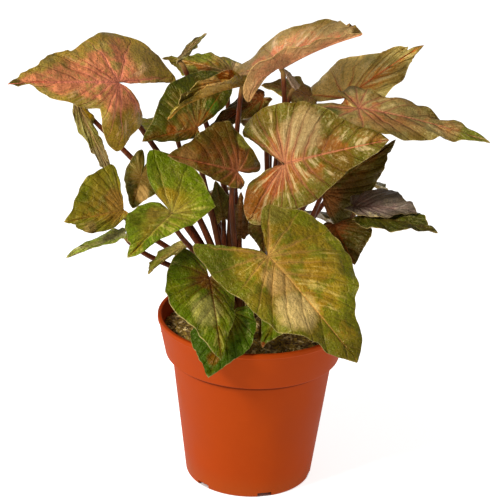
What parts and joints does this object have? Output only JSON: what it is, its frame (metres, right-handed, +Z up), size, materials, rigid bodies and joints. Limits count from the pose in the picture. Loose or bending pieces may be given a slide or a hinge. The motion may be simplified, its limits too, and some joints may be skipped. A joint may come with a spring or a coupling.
{
  "type": "potted arrowhead plant",
  "caption": "Arrowhead plant with pink-veined, heart-shaped to arrow-shaped leaves on dark stalks, in a round terracotta-coloured plastic nursery pot filled with potting mix.",
  "frame": {"origin": "centre of the pot's underside, on the face of its middle foot pad, in the plane that the pot stands on", "axes": "+Z up, out of the pot; -Y towards the side that the picture shows, with the large drooping front leaf; +X to that view's right"},
  "size_m": [0.2452, 0.198, 0.261],
  "materials": {
    "pot plastic": "satin terracotta-orange plastic",
    "potting mix": null,
    "stalk": null,
    "pink leaf": null,
    "rose leaf": null,
    "gold leaf": null,
    "olive leaf": null,
    "green leaf": null,
    "dark leaf": null,
    "brown leaf": null,
    "plum leaf": null
  },
  "bodies": {
    "root": {"pot": "pot plastic", "soil": "potting mix", "stem_left": "stalk", "stem_front_left": "stalk", "stem_front": "stalk", "stem_right": "stalk", "stem_back_right": "stalk", "stem_back_left": "stalk", "leaf_01": "pink leaf", "leaf_02": "plum leaf", "leaf_03": "olive leaf", "leaf_04": "green leaf", "leaf_05": "green leaf", "leaf_06": "dark leaf", "leaf_07": "olive leaf", "leaf_08": "dark leaf", "leaf_09": "dark leaf", "leaf_10": "dark leaf", "leaf_11": "gold leaf", "leaf_12": "rose leaf", "leaf_13": "pink leaf", "leaf_14": "olive leaf", "leaf_15": "pink leaf", "leaf_16": "plum leaf", "leaf_17": "dark leaf", "leaf_18": "brown leaf", "leaf_19": "brown leaf", "leaf_20": "brown leaf", "leaf_21": "dark leaf", "leaf_22": "plum leaf", "leaf_23": "dark leaf", "leaf_24": "brown leaf", "leaf_25": "dark leaf", "leaf_26": "green leaf", "leaf_27": "olive leaf", "leaf_28": "rose leaf", "leaf_29": "olive leaf", "leaf_30": "gold leaf", "leaf_31": "dark leaf", "leaf_32": "olive leaf", "leaf_33": "dark leaf", "leaf_34": "dark leaf", "leaf_35": "plum leaf"}
  },
  "joints": []
}
